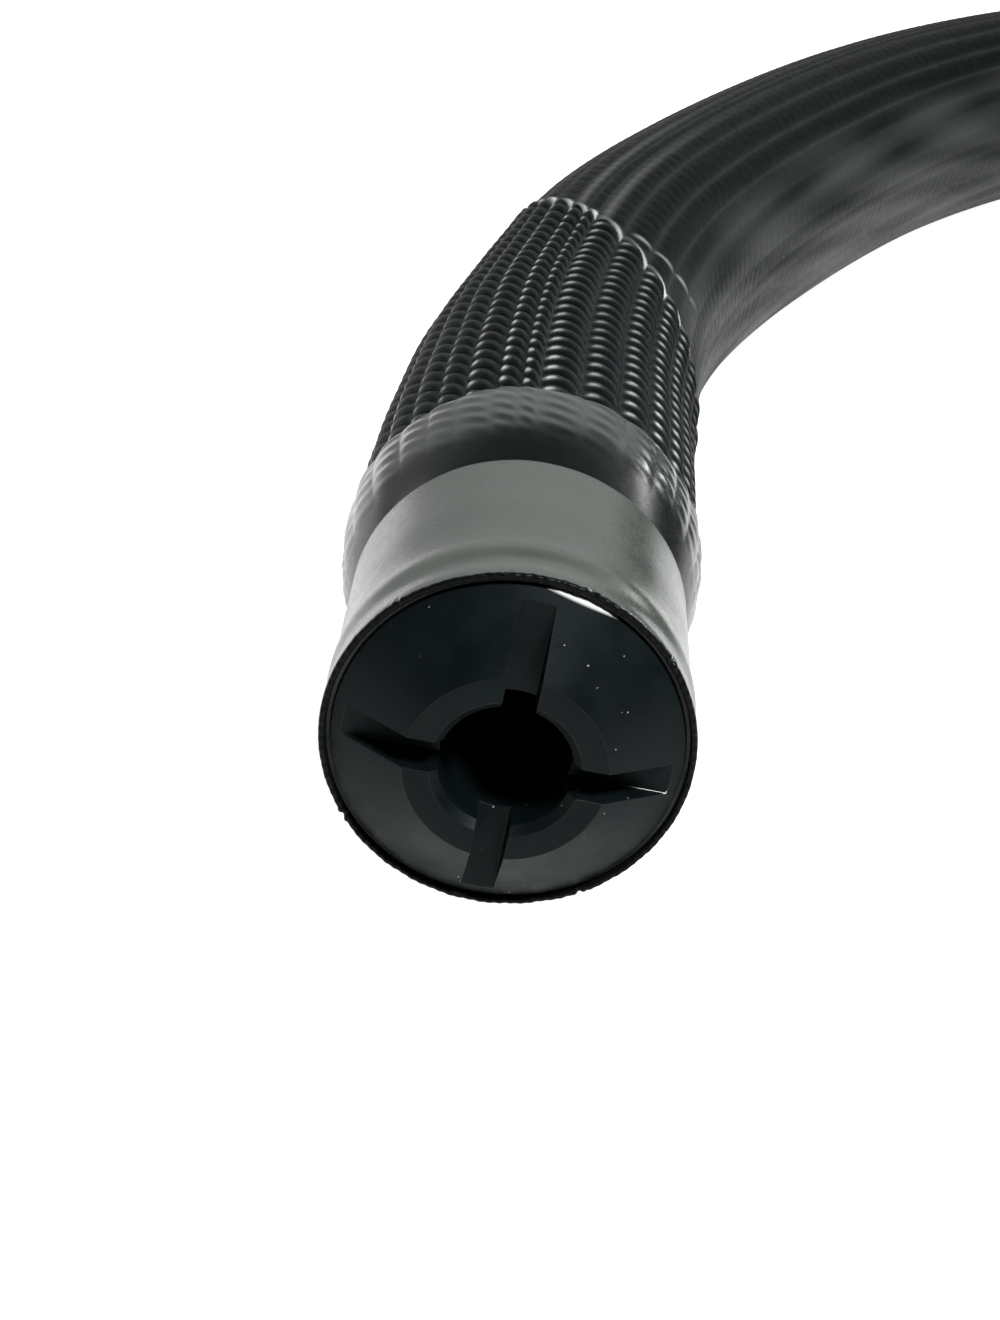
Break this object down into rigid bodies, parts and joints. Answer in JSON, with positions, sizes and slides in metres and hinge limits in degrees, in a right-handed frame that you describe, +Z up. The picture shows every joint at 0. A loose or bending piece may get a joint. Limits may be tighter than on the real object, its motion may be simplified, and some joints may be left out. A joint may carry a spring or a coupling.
{
  "type": "vacuum hose",
  "caption": "Flexible wire-supported vacuum hose in a ribbed woven jacket, with a slotted nose plug in sleeved end wrapping and a swivel cuff at the other end, coiled and strapped.",
  "frame": {"origin": "centre of the nose plug's bore, in the plane of the sleeved end's rim", "axes": "+Y runs along the hose from the nose into the hose, +Z is up, +X is to the right seen from in front of the nose; the floor is at z = -0.0262"},
  "size_m": [0.8571, 0.661, 0.1597],
  "materials": {
    "black_plastic": "satin black moulded plastic",
    "seal_rubber": "matt black rubber",
    "band_steel": "plain steel strip",
    "liner_plastic": "flexible grey hose wall",
    "wire_steel": "drawn spring wire",
    "woven_jacket": "near-black woven filament yarn with a slight sheen",
    "weave_sleeve": "shrink sleeve with the weave telegraphing through",
    "smooth_sleeve": "satin shrink sleeve with fine scuffs",
    "webbing": "black woven webbing",
    "slide_plastic": "moulded plastic",
    "washer_plastic": "natural low-friction plastic",
    "cuff_plastic": "satin black moulded plastic",
    "nut_plastic": "fine-textured moulded plastic",
    "grip_rubber": "soft ribbed rubber"
  },
  "bodies": {
    "root": {"nose_plug": "black_plastic", "plug_seal": "seal_rubber", "seat_ring": "seal_rubber", "front_crimp_band": "band_steel", "rear_crimp_band": "band_steel", "hose_liner": "liner_plastic", "support_wire": "wire_steel", "jacket_end": "woven_jacket", "weave_sleeve": "weave_sleeve", "smooth_sleeve": "smooth_sleeve", "hose_tube": "woven_jacket", "hose_coil": "woven_jacket", "hose_tail": "woven_jacket", "coil_straps": "webbing", "strap_slides": "slide_plastic", "far_smooth_sleeve": "smooth_sleeve", "far_weave_sleeve": "weave_sleeve", "far_jacket_end": "woven_jacket", "far_liner": "liner_plastic", "far_support_wire": "wire_steel", "far_crimp_bands": "band_steel", "cuff_insert": "black_plastic", "insert_seal": "seal_rubber", "cuff_washer": "washer_plastic"},
    "cuff": {"cuff_body": "cuff_plastic", "cuff_collar": "nut_plastic", "cuff_grip": "grip_rubber", "cuff_seal": "seal_rubber"}
  },
  "joints": [
    {"name": "cuff_swivel", "type": "hinge", "parent": "root", "child": "cuff", "pos_m": [0.24587, 0.41657, 0.1055], "axis": [0, 1, 0], "continuous": true}
  ]
}
